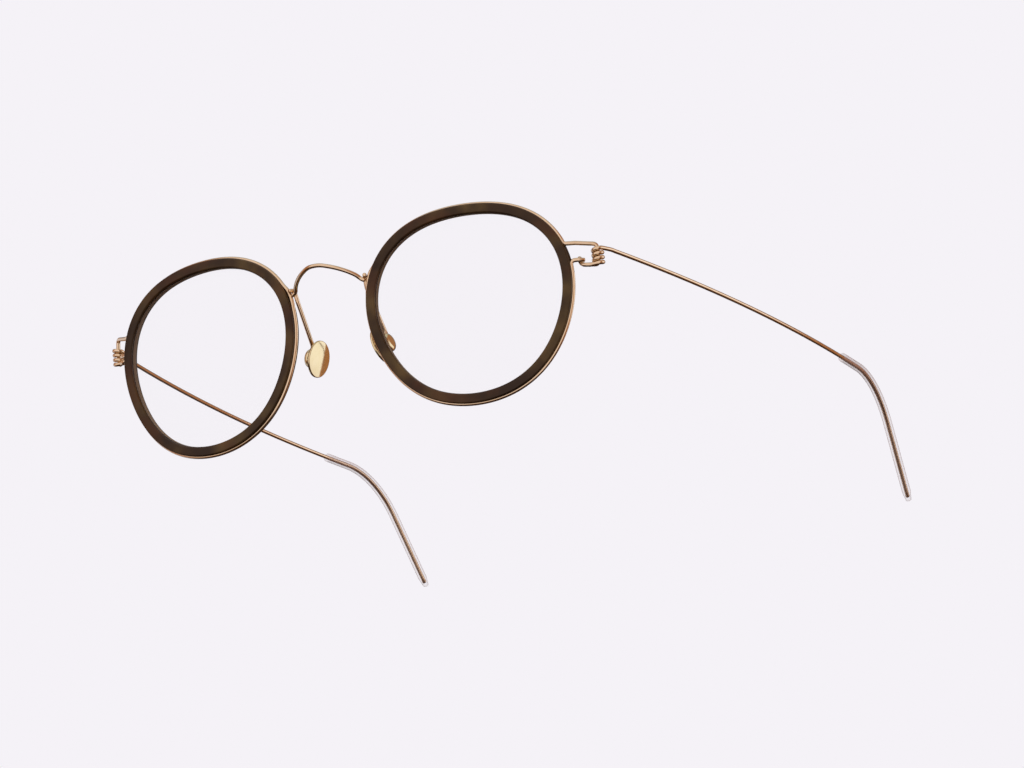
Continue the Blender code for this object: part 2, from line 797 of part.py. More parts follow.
def main():
    clear_scene()
    group = new_collection("round_eyeglasses")
    cutters = new_collection("cutters")
    stand = add_empty("stand", (0, 0, 0), group)
    front = [make_bridge_wire(group)]
    rims = []
    sleeves = []
    moving = []
    for side in (LEFT, RIGHT):
        name = SIDE_NAMES[side]
        rims.append(make_rim_wire(side, group))
        front.append(make_inner_rim(side, group, cutters))
        front.append(make_lens(side, group, cutters))
        pin = add_empty(name + "_hinge", mirrored([pin_place()], side)[0], group, stand)
        sleeve = make_sleeve(side, group, cutters)
        sleeves.append(sleeve)
        for item in (make_temple_wire(side, group), sleeve):
            hang(item, pin)
            moving.append(item)
        pivot = add_empty(name + "_pad_pivot", mirrored([pad_pivot()[0]], side)[0], group, stand)
        for item in (make_pad_plate(side, group, cutters), make_pad_cup(side, group, cutters)):
            hang(item, pivot)
            moving.append(item)
    for item in front + rims:
        hang(item, stand)
    for cutter in cutters.objects:
        hang(cutter, stand)
    stand_on_ground(stand, rims, sleeves, front + rims + moving)
    for name, place in (("left hinge", pin_place() + Vector((0, 0, TEMPLE_HEIGHT))),
                        ("left pad pivot", pad_pivot()[0])):
        print(name, [round(c, 6) for c in stand.matrix_world @ place])
    print("pin axis", [round(c, 6) for c in stand.matrix_world.to_3x3() @ Vector((0, 0, 1))])
    print("pad axis", [round(c, 6) for c in stand.matrix_world.to_3x3() @ pad_pivot()[1]])


main()
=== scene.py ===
# %% [markdown]
# # Round eyeglasses, bent and wound from wire
#
# These glasses have no screws. One gold-coloured wire rings each dark inner rim and makes the hinge
# pin as well, and each temple is a single wire whose end is coiled round that pin. An arch of the
# same wire is the bridge, and a short arm on each side carries a nose pad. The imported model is
# loaded first, as a fixed frame. Every finer piece made below then takes the place of one of its
# solids, or of a stretch of one.

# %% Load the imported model
import json
from math import atan2, ceil, cos, degrees, hypot, pi, radians, sin, sqrt, tan

import bmesh
import bpy
from mathutils import Matrix, Vector


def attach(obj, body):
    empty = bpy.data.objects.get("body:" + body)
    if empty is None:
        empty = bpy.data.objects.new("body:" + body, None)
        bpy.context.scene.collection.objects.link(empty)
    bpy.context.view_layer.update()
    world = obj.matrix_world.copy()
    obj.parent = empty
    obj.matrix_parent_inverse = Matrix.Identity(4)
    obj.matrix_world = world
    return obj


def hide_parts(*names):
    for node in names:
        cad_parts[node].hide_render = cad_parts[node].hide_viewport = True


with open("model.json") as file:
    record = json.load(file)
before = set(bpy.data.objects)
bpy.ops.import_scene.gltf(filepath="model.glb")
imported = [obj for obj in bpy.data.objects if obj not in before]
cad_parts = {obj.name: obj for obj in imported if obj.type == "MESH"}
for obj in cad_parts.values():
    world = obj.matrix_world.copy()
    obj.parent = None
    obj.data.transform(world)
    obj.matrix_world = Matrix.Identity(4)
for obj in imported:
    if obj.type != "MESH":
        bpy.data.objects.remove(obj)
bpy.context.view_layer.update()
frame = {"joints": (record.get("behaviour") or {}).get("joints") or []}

# %% [markdown]
# ## One simple place to work in
#
# The glasses stand on the rims and on the temple tips, so the front leans a little. Working in that
# leaning place would be awkward. All pieces are therefore modelled in the front's own frame, in
# millimetres: X towards the wearer's left, Y from the front towards the face, Z up. The hinge joint
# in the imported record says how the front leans, and one matrix moves every finished mesh there.

# %% The front's frame
PIN_X, PIN_Y = 59.973, 7.834       # the left hinge pin in the front's frame
FOLD_Z = 6.0                       # the height on the pin that the joint names
WIRE = 0.9                         # diameter of every wire

fold = next(joint for joint in frame["joints"] if joint["name"] == "left_temple_fold")
lean = atan2(-fold["axis"][1], fold["axis"][2])
TURN = Matrix.Rotation(lean, 4, "X")
STAND = (Matrix.Translation(fold["pos_m"]) @ TURN @ Matrix.Scale(0.001, 4)
         @ Matrix.Translation((-PIN_X, -PIN_Y, -FOLD_Z)))
ACROSS_NOSE = Matrix.Scale(-1, 4, (1, 0, 0))
print("the front leans", round(degrees(lean), 2), "degrees")

# %% [markdown]
# ## The camera
#
# The camera stands in front, well to the wearer's left, and looks slightly upwards with a small
# roll, as in the photograph. Its place was found by fitting the outlines of both rims and temples.
# A long lens, about 156 mm, keeps the perspective gentle.

# %% Camera
SENSOR_WIDTH = 36.0
FOCAL_LENGTH = 155.93
NEAREST_SEEN = 0.05                                # metres
CAMERA_PLACE = Vector((461.36, -800.69, -196.10))  # in the front's frame, as the two directions are
TO_RIGHT = Vector((0.87275, 0.47898, -0.09428))
UPWARDS = Vector((0.17380, -0.12440, 0.97689))

camera_data = bpy.data.cameras.new("camera")
camera_data.sensor_width = SENSOR_WIDTH
camera_data.lens = FOCAL_LENGTH
camera_data.clip_start = NEAREST_SEEN
camera = bpy.data.objects.new("camera", camera_data)
bpy.context.scene.collection.objects.link(camera)
turned_to = Matrix((TO_RIGHT, UPWARDS, TO_RIGHT.cross(UPWARDS))).transposed().to_4x4()
camera.matrix_world = Matrix.Translation(STAND @ CAMERA_PLACE) @ TURN @ turned_to
bpy.context.scene.camera = camera
print("camera at", [round(c, 3) for c in camera.matrix_world.translation])

# %% [markdown]
# ## Nodes written as sums
#
# A material's maths is easier to read as an expression than as a web of links. `Value` wraps a
# socket, so that `1 - mask * 0.3` adds its own Math nodes. `Finish` holds one material, and its
# `node` method adds any other node: settings first, then the values or links of its sockets.

# %% Value and Finish
class Value:
    def __init__(self, finish, socket):
        self.finish = finish
        self.socket = socket

    def math(self, operation, first, second):
        return self.finish.node("ShaderNodeMath", {"operation": operation}, {0: first, 1: second})

    def __add__(self, other): return self.math("ADD", self, other)
    def __radd__(self, other): return self.math("ADD", other, self)
    def __rsub__(self, other): return self.math("SUBTRACT", other, self)
    def __mul__(self, other): return self.math("MULTIPLY", self, other)
    def __rmul__(self, other): return self.math("MULTIPLY", other, self)
    def __pow__(self, other): return self.math("POWER", self, other)


class Finish:
    def __init__(self, name, owner=None):
        self.owner = owner or bpy.data.materials.new(name)
        self.owner.use_nodes = True
        self.tree = self.owner.node_tree
        self.shader = self.tree.nodes.get("Principled BSDF")

    def node(self, kind, settings=None, inputs=None, output=0):
        made = self.tree.nodes.new(kind)
        for key, value in (settings or {}).items():
            if key == "stops":
                ramp = made.color_ramp
                while len(ramp.elements) < len(value):
                    ramp.elements.new(1.0)
                for element, (position, color) in zip(ramp.elements, value):
                    element.position = position
                    element.color = (*color, 1.0)
            else:
                setattr(made, key, value)
        for key, value in (inputs or {}).items():
            self.feed(made.inputs[key], value)
        return Value(self, made.outputs[output])

    def feed(self, socket, value):
        if isinstance(value, Value):
            self.tree.links.new(value.socket, socket)
        elif hasattr(value, "__len__") and len(value) == 3 and socket.type == "RGBA":
            socket.default_value = (*value, 1.0)
        else:
            socket.default_value = value

    def place(self, **settings):
        """Object coordinates in millimetres, turned and stretched as a Mapping node does."""
        spot = self.node("ShaderNodeTexCoord", output="Object")
        settings = {name.capitalize(): value for name, value in settings.items()}
        settings.setdefault("Scale", (1000.0,) * 3)
        return self.node("ShaderNodeMapping", None, {"Vector": spot, **settings})

    def noise(self, vector, scale, detail=2.0, roughness=0.5):
        return self.node("ShaderNodeTexNoise", None, {"Vector": vector, "Scale": scale,
                                                      "Detail": detail, "Roughness": roughness})

    def ramp(self, factor, *stops):
        return self.node("ShaderNodeValToRGB", {"stops": stops}, {"Fac": factor})

    def blend(self, factor, first, second):
        """The first colour where the factor is 0 and the second where it is 1."""
        return self.node("ShaderNodeMix", {"data_type": "RGBA"},
                         {0: factor, 6: first, 7: second}, output=2)

    def bump(self, height, strength, distance):
        self.wear(Normal=self.node("ShaderNodeBump", None,
                                   {"Height": height, "Strength": strength, "Distance": distance}))

    def wear(self, **inputs):
        """Sets the shader's own sockets; an underscore stands for a space in a socket's name."""
        for name, value in inputs.items():
            self.feed(self.shader.inputs[name.replace("_", " ")], value)


print("nodes are written as sums from here on")

# %% [markdown]
# ## Gold on the wires
#
# The wires are polished metal with a warm gold coat. The colour comes almost only from what they
# reflect, so the base is a bright gold and the room does the rest. A soft noise shifts the gold a
# little towards copper and dulls it where fingers have rubbed it, and a finer one adds some grain.

# %% Gold wire
gold = Finish("warm_gold_wire")
spot = gold.place()
rubbed = gold.noise(spot, 0.35, 3.0)
fine = gold.noise(spot, 5.0, 3.0, 0.6)
tone = gold.ramp(rubbed, (0.35, (0.80, 0.60, 0.375)), (0.65, (0.88, 0.69, 0.465)))
gold.wear(Base_Color=tone, Metallic=1.0, Roughness=0.06 + 0.07 * rubbed + 0.03 * fine)
gold.bump(fine, 0.06, 0.00002)
print("gold wire:", len(gold.tree.nodes), "nodes")

# %% [markdown]
# ## Gold on the nose pads
#
# The pads are paler and smoother than the wires, nearly a mirror. Hairline scratches run over the
# flat face. They are a noise whose scale is far larger one way, so that it reads as fine lines.

# %% Pad gold
pad_gold = Finish("pale_pad_gold")
stretched = pad_gold.place(scale=(300.0, 2600.0, 300.0), rotation=(0.3, 0.0, 0.2))
hairlines = pad_gold.noise(stretched, 3.0, 3.0)
cloud = pad_gold.noise(pad_gold.place(), 0.5, 2.0)
tone = pad_gold.ramp(cloud, (0.3, (0.79, 0.66, 0.375)), (0.7, (0.83, 0.70, 0.42)))
pad_gold.wear(Base_Color=tone, Metallic=1.0, Roughness=0.04 + 0.05 * hairlines)
pad_gold.bump(hairlines, 0.03, 0.00001)
print("pad gold:", len(pad_gold.tree.nodes), "nodes")

# %% [markdown]
# ## Horn
#
# The inner rims look like polished dark horn: brown-black, with soft olive and reddish clouds a few
# millimetres long. A large noise chooses between the browns, a finer one breaks its edges up a
# little, and a third one of its own lays the red clouds over them.

# %% Horn
horn = Finish("clouded_horn")
grain = horn.noise(horn.place(), 0.6, 3.0, 0.5)
clouds = horn.noise(horn.place(location=(7.0, 3.0, 0.0)), 0.10, 2.0, 0.45)
mixed = clouds * 0.88 + grain * 0.12
tone = horn.ramp(mixed, (0.38, (0.024, 0.012, 0.006)), (0.49, (0.040, 0.022, 0.009)),
                 (0.58, (0.070, 0.043, 0.015)), (0.68, (0.108, 0.067, 0.023)))
red_clouds = horn.ramp(horn.noise(horn.place(location=(40.0, 0.0, 0.0)), 0.13, 2.0),
                       (0.50, (0.0, 0.0, 0.0)), (0.66, (1.0, 1.0, 1.0)))
horn.wear(Base_Color=horn.blend(red_clouds * 0.35, tone, (0.085, 0.026, 0.010)),
          Roughness=0.17 + 0.10 * grain, Specular_IOR_Level=0.22, Specular_Tint=(1.0, 0.90, 0.80),
          Coat_Weight=0.04, Coat_Roughness=0.10)
horn.bump(grain, 0.04, 0.00003)
print("horn:", len(horn.tree.nodes), "nodes")

# %% [markdown]
# ## Clear lens
#
# The lenses have an anti-reflection coat, and in the photograph they can hardly be seen. Only the
# ground edge shows, because it is matt; its brown is a painted reflection of the groove round it.
# The mesh will carry an attribute, `ground`, which is 1 on that edge and 0 on the polished faces.
# Seen very steeply, glass mirrors more than it lets through, so Layer Weight raises the alpha
# there.

# %% Lens
glass = Finish("coated_clear_lens")
ground = glass.node("ShaderNodeAttribute", {"attribute_name": "ground"}, output="Fac")
smear = glass.noise(glass.place(), 0.12, 3.0)
glancing = glass.node("ShaderNodeLayerWeight", None, {"Blend": 0.5}, output="Facing")
# The ground edge's brown is a painted reflection of the groove round it, not the glass's own
# colour.
glass.wear(Base_Color=glass.blend(ground, (0.75, 0.80, 0.82), (0.20, 0.135, 0.08)),
           Roughness=0.03 + 0.50 * ground + 0.03 * smear,
           Alpha=0.012 + 0.95 * ground + 0.25 * glancing ** 4.0, IOR=1.5)
print("lens:", len(glass.tree.nodes), "nodes")

# %% [markdown]
# ## Clear silicone
#
# The sleeves over the ear ends are clear, soft, faintly pink tubes. Seen flat on they nearly
# vanish.
# The darker pinkish grey along their edges is painted shade, standing in for the refraction there.
# Layer Weight gives how steeply a surface is seen, and it drives both the alpha and the tint.

# %% Silicone
silicone = Finish("clear_silicone")
steep = silicone.node("ShaderNodeLayerWeight", None, {"Blend": 0.5}, output="Facing")
haze = silicone.noise(silicone.place(), 0.8, 2.0)
# Painted shade: the darker tint along the edges stands in for refraction; the pale pink is the
# silicone's own.
silicone.wear(Base_Color=silicone.blend(steep, (0.86, 0.72, 0.68), (0.50, 0.34, 0.31)),
              Roughness=0.10 + 0.10 * haze, Alpha=0.04 + 0.03 * haze + 0.60 * steep ** 2.0, IOR=1.3,
              Specular_IOR_Level=0.2)
print("silicone:", len(silicone.tree.nodes), "nodes")

# %% [markdown]
# ## From the workbench to the model
#
# Two helpers are used by every piece. `finish_mesh` closes its seams, turns its faces outwards and
# smooths it. `seat` moves a finished mesh to its place, hangs it on the body that carries it and
# hides the packed solid it stands for. A copy for the wearer's right is mirrored, so its faces are
# turned round again.

# %% Clean and seat a piece
SEAM = 0.0005                      # points closer than this, in mm, become one


def select_only(piece):
    bpy.ops.object.select_all(action="DESELECT")
    piece.select_set(True)
    bpy.context.view_layer.objects.active = piece


def finish_mesh(piece, smooth_below=35.0):
    """Cleans a mesh; edges that turn less than `smooth_below` degrees are shaded smooth."""
    select_only(piece)
    bpy.ops.object.mode_set(mode="EDIT")
    bpy.ops.mesh.select_all(action="SELECT")
    bpy.ops.mesh.remove_doubles(threshold=SEAM)
    bpy.ops.mesh.normals_make_consistent(inside=False)
    bpy.ops.object.mode_set(mode="OBJECT")
    bpy.ops.object.shade_smooth_by_angle(angle=radians(smooth_below))
    return piece


def seat(piece, name, finish, body, node, right=False):
    """Moves a piece out of the front's frame, and says what it is and what carries it."""
    piece.name = piece.data.name = name
    piece.data.transform(STAND @ ACROSS_NOSE if right else STAND)
    if right:
        piece.data.flip_normals()
    piece.data.materials.clear()
    piece.data.materials.append(finish.owner)
    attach(piece, body)
    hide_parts(node)
    print(name, "has", len(piece.data.polygons), "faces")
    return piece


def seat_pair(piece, names, finish, bodies, nodes):
    """Seats a left piece and a mirrored copy, with its own mesh, on the right."""
    twin = piece.copy()
    twin.data = piece.data.copy()
    bpy.context.scene.collection.objects.link(twin)
    seat(piece, names[0], finish, bodies[0], nodes[0])
    seat(twin, names[1], finish, bodies[1], nodes[1], right=True)


print("helpers ready")

# %% [markdown]
# ## A length of wire
#
# Every wire here is the same round wire, 0.9 mm thick, along a different line. A curve with a round
# bevel is the natural way: the line is given as points, and the curve gives it thickness. The ends
# are cut and tumbled, so the last points get a smaller radius each, which rounds the cut's edge.

# %% Bend wire
END_ROUNDING = ((0.0, 0.50), (0.03, 0.74), (0.10, 0.90), (0.22, 1.0))     # (mm from the end, share)
END_LENGTH = 0.25                  # no other points lie this near a rounded end
SHORTEST_SPAN = 0.02               # between two points of a line
WIRE_ROUND = 8                     # bevel resolution, for 4 + 2 * 8 sides
WIRE_SMOOTHING = 60.0              # degrees


def flowing(points, steps=6):
    """A smooth line through every one of the points."""
    ends = [points[0] * 2 - points[1], *points, points[-1] * 2 - points[-2]]
    line = []
    for a, b, c, d in zip(ends, ends[1:], ends[2:], ends[3:]):
        for n in range(steps):
            t = n / steps
            line.append(0.5 * (2 * b + (c - a) * t + (2 * a - 5 * b + 4 * c - d) * t ** 2
                               + (3 * b - a - 3 * c + d) * t ** 3))
    return line + [points[-1]]


def bent(corners, radii, steps=8):
    """The corners joined by straight lines, with each inner corner bent round its own radius."""
    line = [corners[0]]
    for before, here, after, radius in zip(corners, corners[1:], corners[2:], radii):
        arriving = (here - before).normalized()
        leaving = (after - here).normalized()
        turn = arriving.angle(leaving)
        start = here - arriving * (radius * tan(turn / 2))
        axis = arriving.cross(leaving).normalized()
        hub = start + axis.cross(arriving) * radius
        for n in range(steps + 1):
            line.append(hub + Matrix.Rotation(turn * n / steps, 3, axis) @ (start - hub))
    return line + [corners[-1]]


def rounded_end(line):
    """Points and radius shares for the start of a line, with the cut's edge rounded."""
    way = (line[1] - line[0]).normalized()
    return [(line[0] + way * depth, share) for depth, share in END_ROUNDING]


def wire(line, radius=WIRE / 2, open_start=False):
    """A round wire along the line, as a mesh; an open start has no cap and no rounding."""
    line = [here for here, after in zip(line, line[1:])
            if (after - here).length > SHORTEST_SPAN] + [line[-1]]
    start = [(line[0], 1.0)] if open_start else rounded_end(line)
    end = rounded_end(line[::-1])[::-1]
    middle = [(place, 1.0) for place in line[1:-1]
              if min((place - line[0]).length, (place - line[-1]).length) > END_LENGTH]
    bpy.ops.object.select_all(action="DESELECT")
    bpy.ops.curve.primitive_nurbs_path_add()
    rod = bpy.context.object
    rod.data.splines.clear()
    spline = rod.data.splines.new("POLY")
    points = start + middle + end
    spline.points.add(len(points) - 1)
    for point, (place, share) in zip(spline.points, points):
        point.co = (*place, 1.0)
        point.radius = share
    rod.data.dimensions = "3D"
    rod.data.twist_mode = "MINIMUM"
    rod.data.bevel_depth = radius
    rod.data.bevel_resolution = WIRE_ROUND
    rod.data.use_fill_caps = not open_start
    bpy.ops.object.convert(target="MESH")
    rod = bpy.context.object
    rod.location = (0, 0, 0)
    return rod


print("each wire has", 4 + 2 * WIRE_ROUND, "sides")

# %% [markdown]
# ## The outline of the rims
#
# The rims look round, but they are not circles: they are a little wider than high, fuller at the
# top and tighter at the upper corners. The outline is written as a radius that changes with the
# angle round the rim, starting at the temple side. Each rim is also swept back towards the temples
# and bowed, so `rim_point` bends the flat outline into its place in space.

# %% Outline
RIM_RADIUS = 22.5
RIM_WIDTH = 2.1                    # front face of the inner rim
RIM_DEPTH = 2.4                    # its front to its back
MIDDLE = RIM_DEPTH / 2             # the wire and the lens sit half-way
FACE_WRAP = radians(6.2)
RIM_BOW = 0.026
RIM_GAP = 18.6                     # between the rims at the nose


def outline_radius(angle):
    """From the rim's centre to its outer edge, fitted to both rims in the photograph."""
    return (RIM_RADIUS + 1.05 * cos(2 * angle) - 0.23 * sin(2 * angle)
            + 0.61 * sin(3 * angle) - 0.21 * cos(4 * angle) + 0.08 * sin(5 * angle))


def outline_point(angle):
    return outline_radius(angle) * Vector((cos(angle), sin(angle)))


def outline_normal(angle):
    nearby = radians(0.5)
    along = outline_point(angle + nearby) - outline_point(angle - nearby)
    return Vector((along.y, -along.x)).normalized()


LENS_CENTRE_X = RIM_GAP / 2 + outline_radius(pi) * cos(FACE_WRAP)


def from_rim_plane(across, up, depth):
    """Bends a place on the flat rim, seen from its centre, into the front's frame."""
    back = depth + RIM_BOW * (across ** 2 - up ** 2) / (2 * RIM_RADIUS)
    return Vector((LENS_CENTRE_X + across * cos(FACE_WRAP) - back * sin(FACE_WRAP),
                   across * sin(FACE_WRAP) + back * cos(FACE_WRAP), up))


def rim_point(angle, inset, depth):
    """A place at this angle, `inset` inside the outline and `depth` behind the face."""
    flat = outline_point(angle) - outline_normal(angle) * inset
    return from_rim_plane(flat.x, flat.y, depth)


print("lens centres are", round(2 * LENS_CENTRE_X, 1), "mm apart")

# %% [markdown]
# ## Where the bridge meets the rim
#
# High on the nose side the rim wire stands off the inner rim a little, and there the bridge and the
# pad arm are soldered on. The three axes of that place, outward to the nose, backward and upward
# along the rim wire, are used by the rim wire, the bridge and the pad arm.

# %% The joint at the nose
JOINT_ANGLE = radians(159.5)
BULGE_ANGLE = radians(156.9)       # where the rim wire stands off most
BULGE = 0.41
FLANK_ABOVE = radians(6.6)         # how far the stand-off reaches on either side
FLANK_BELOW = radians(12)


def stand_off(angle):
    """How far the rim wire stands off the inner rim at this angle."""
    away = (angle - BULGE_ANGLE + pi) % (2 * pi) - pi
    away = away / FLANK_BELOW if away > 0 else -away / FLANK_ABOVE
    return BULGE * cos(pi / 2 * away) ** 2 if away < 1 else 0.0


flat = outline_normal(JOINT_ANGLE)
outward = Vector((flat.x * cos(FACE_WRAP), flat.x * sin(FACE_WRAP), flat.y))
backward = Vector((-sin(FACE_WRAP), cos(FACE_WRAP), 0.0))
upward = backward.cross(outward)
joint = rim_point(JOINT_ANGLE, 0.0, MIDDLE)
print("the joint's upward axis is", [round(c, 2) for c in upward])

# %% [markdown]
# ## Inner rims
#
# A real inner rim is milled from a plate of horn or acetate and tumbled until its edges are soft.
# It could be built from a torus, but its section matters: flat in front, round polished edges, a
# groove outside for the wire and a V-shaped groove inside for the lens. So the section is drawn as
# a small face, its corners are bevelled, its sides are subdivided and pushed in to make the
# grooves, and the section is spun once round, as on a lathe. Then each point moves from the circle
# to the outline.

# %% Draw the section of the rim
RIM_STEPS = 240
RIM_BEVEL = 0.38
RIM_BEVEL_STEPS = 5
LONG_SIDE = 1.0                    # the section's straight sides are longer than this
NEAR = 0.01                        # a point this near a surface lies on it
GROOVE = WIRE / 2 + 0.04           # radius of the groove outside
OPENING = RIM_RADIUS - RIM_WIDTH
LENS_GROOVE = 0.45                 # depth of the groove inside
LENS_GROOVE_HALF = 0.5             # half its width
LENS_EDGE = OPENING + LENS_GROOVE
RIM_FIELD = OPENING - 0.15         # nearer to the centre than any point of the rim


def to_outline(mesh, field):
    """Moves each point from its round place to the same place on the rim.

    Outside the radius `field` a point keeps its distance from the outline. Inside it, the points
    draw together evenly towards the centre.
    """
    for vertex in mesh.vertices:
        radius = hypot(vertex.co.x, vertex.co.y)
        angle = atan2(vertex.co.y, vertex.co.x)
        share = min(radius / field, 1.0)
        inset = RIM_RADIUS - max(radius, field)
        flat = (outline_point(angle) - outline_normal(angle) * inset) * share
        vertex.co = from_rim_plane(flat.x, flat.y, vertex.co.z)


bpy.ops.object.select_all(action="DESELECT")
bpy.ops.mesh.primitive_plane_add(size=1.0, location=(0, 0, 0))
rim = bpy.context.object
rim.data.transform(Matrix.Translation((RIM_RADIUS - RIM_WIDTH / 2, 0, MIDDLE))
                   @ Matrix.Diagonal((RIM_WIDTH, 1, RIM_DEPTH, 1))
                   @ Matrix.Rotation(pi / 2, 4, "X"))
bpy.ops.object.mode_set(mode="EDIT")
bpy.ops.mesh.select_all(action="SELECT")
bpy.ops.mesh.delete(type="ONLY_FACE")
bpy.ops.mesh.select_all(action="SELECT")
bpy.ops.mesh.bevel(offset=RIM_BEVEL, segments=RIM_BEVEL_STEPS, affect="VERTICES",
                   offset_type="OFFSET")

for radius, cuts in ((RIM_RADIUS, 13), (OPENING, 7)):
    section = bmesh.from_edit_mesh(rim.data)
    bpy.ops.mesh.select_all(action="DESELECT")
    for edge in section.edges:
        on_side = all(abs(end.co.x - radius) < NEAR for end in edge.verts)
        edge.select_set(on_side and edge.calc_length() > LONG_SIDE)
    bmesh.update_edit_mesh(rim.data)
    bpy.ops.mesh.subdivide(number_cuts=cuts)

section = bmesh.from_edit_mesh(rim.data)
for point in section.verts:
    height = abs(point.co.z - MIDDLE)
    if point.co.x > RIM_RADIUS - NEAR and height < GROOVE:
        point.co.x = RIM_RADIUS - sqrt(GROOVE ** 2 - height ** 2)
    if point.co.x < OPENING + NEAR and height < LENS_GROOVE_HALF:
        point.co.x = OPENING + LENS_GROOVE * (1 - height / LENS_GROOVE_HALF)
bmesh.update_edit_mesh(rim.data)
print("the section has", len(section.verts), "points")

# %% Spin it into a ring
bpy.ops.mesh.select_all(action="SELECT")
bpy.ops.mesh.spin(steps=RIM_STEPS, angle=2 * pi, center=(0, 0, 0), axis=(0, 0, 1))
bpy.ops.mesh.select_all(action="SELECT")
bpy.ops.mesh.remove_doubles(threshold=SEAM)
bpy.ops.object.mode_set(mode="OBJECT")
to_outline(rim.data, RIM_FIELD)
finish_mesh(rim)
seat_pair(rim, ("left_horn_rim", "right_horn_rim"), horn, ("front", "front"),
          ("left_inner_rim", "right_inner_rim"))

# %% [markdown]
# ## Lenses
#
# A lens is a thin domed disc with a V-shaped edge that sits in the rim's groove. It starts as a
# filled circle. Insets give it rings, an extrusion gives it thickness, and one cut round its side
# is drawn outwards into the V. The rings are then lifted into a dome, so that it is not a flat
# pane.

# %% Cut a disc
LENS_THICKNESS = 1.0
LENS_CURVE = 115.0                 # radius of the dome
EDGE_FIT = 0.06                    # between the lens and its groove
LENS_FIELD = OPENING - EDGE_FIT    # radius of the lens before its edge
LENS_RINGS = (0.05, 1.2, 3.0, 4.5, 5.0)       # widths of its rings, from the edge inwards

bpy.ops.object.select_all(action="DESELECT")
bpy.ops.mesh.primitive_circle_add(vertices=RIM_STEPS, radius=LENS_FIELD, fill_type="TRIFAN",
                                  location=(0, 0, MIDDLE - LENS_THICKNESS / 2))
lens = bpy.context.object
lens.data.transform(lens.matrix_world)
lens.matrix_world = Matrix.Identity(4)
bpy.ops.object.mode_set(mode="EDIT")
bpy.ops.mesh.select_all(action="SELECT")
for width in LENS_RINGS:
    bpy.ops.mesh.inset(thickness=width)
bpy.ops.mesh.select_all(action="SELECT")
bpy.ops.mesh.extrude_region_move(TRANSFORM_OT_translate={"value": (0, 0, LENS_THICKNESS)})

disc = bmesh.from_edit_mesh(lens.data)
bpy.ops.mesh.select_all(action="DESELECT")
for edge in disc.edges:
    along = edge.verts[0].co - edge.verts[1].co
    if abs(along.z) > LENS_THICKNESS / 2:         # an edge across the lens's side
        edge.select_set(True)
bmesh.update_edit_mesh(lens.data)
bpy.ops.mesh.subdivide(number_cuts=1)
disc = bmesh.from_edit_mesh(lens.data)
bpy.ops.mesh.select_all(action="DESELECT")
for point in disc.verts:
    if abs(point.co.z - MIDDLE) < NEAR:
        point.select_set(True)
disc.select_flush(True)
bmesh.update_edit_mesh(lens.data)
reach = (LENS_EDGE - EDGE_FIT) / LENS_FIELD
bpy.ops.transform.resize(value=(reach, reach, 1.0), center_override=(0, 0, 0))
bpy.ops.object.mode_set(mode="OBJECT")
print("the disc has", len(lens.data.vertices), "points")

# %% Dome it and mark the ground edge
ground_edge = lens.data.attributes.new("ground", "FLOAT", "POINT")
for vertex in lens.data.vertices:
    radius = hypot(vertex.co.x, vertex.co.y)
    ground_edge.data[vertex.index].value = 1.0 if radius > LENS_FIELD - NEAR else 0.0
    if radius < LENS_FIELD:
        vertex.co.z += (radius ** 2 - LENS_FIELD ** 2) / (2 * LENS_CURVE)
to_outline(lens.data, LENS_FIELD)
finish_mesh(lens, smooth_below=25.0)
seat_pair(lens, ("left_clear_lens", "right_clear_lens"), glass, ("front", "front"),
          ("left_lens", "right_lens"))

# %% [markdown]
# ## Rim wires
#
# One wire closes each ring without a screw. It starts with a short free end at the temple side,
# goes once round the inner rim, leaves it higher up as the arm, turns down as the hinge pin, and
# runs back below the coil. There it hooks round its own free end from behind, which locks the ring.
# Both sides are bent the same way, but the right pin stands taller and leans a little towards the
# lens.

# %% Bend the rim wires
SHARP, SOFT, GENTLE = 0.7, 0.95, 2.2    # radii of the bends
LOWER_EXIT = radians(9.5)
UPPER_EXIT = radians(21.5)
SNUG = 0.03                        # the wire is drawn this far into the rim's groove
HEAD_DROP = 2.05                   # from the arm's outer corner to the top of the pin
KNEE_SHARE = 0.34                  # of the way from the rim to that corner
BAR_HEIGHT = 3.82                  # of the bar below the coil

# Places as distance from the pin towards the rim, height, and distance behind the pin.
FREE_END = ((2.97, 4.78, -0.42), (4.4, 4.88, -0.42))
FREE_RADII = (1.5, 0.85)
BAR = ((0.0, BAR_HEIGHT, 0.0), (2.7, BAR_HEIGHT + 0.02, 0.0))
HOOK = ((2.75, BAR_HEIGHT + 0.02, 0.0), (3.2, BAR_HEIGHT + 0.13, 0.18), (3.56, 4.28, 0.50),
        (3.78, 4.78, 0.64), (3.88, 5.24, 0.50), (3.88, 5.52, 0.12))

# The height of the arm's outer corner, its distance from the pin, and how far the knee is lifted.
HINGES = {"left": (8.2, 0.0, 0.18), "right": (9.55, 0.42, -0.25)}

pin = Vector((PIN_X, PIN_Y, 0.0))
to_rim = rim_point(LOWER_EXIT, 0.0, MIDDLE) - pin
to_rim.z = 0.0
to_rim.normalize()
behind = Vector((0, 0, 1)).cross(to_rim)
behind = behind if behind.y > 0 else -behind


def by_pin(reach, height, back=0.0):
    return pin + to_rim * reach + behind * back + Vector((0, 0, height))


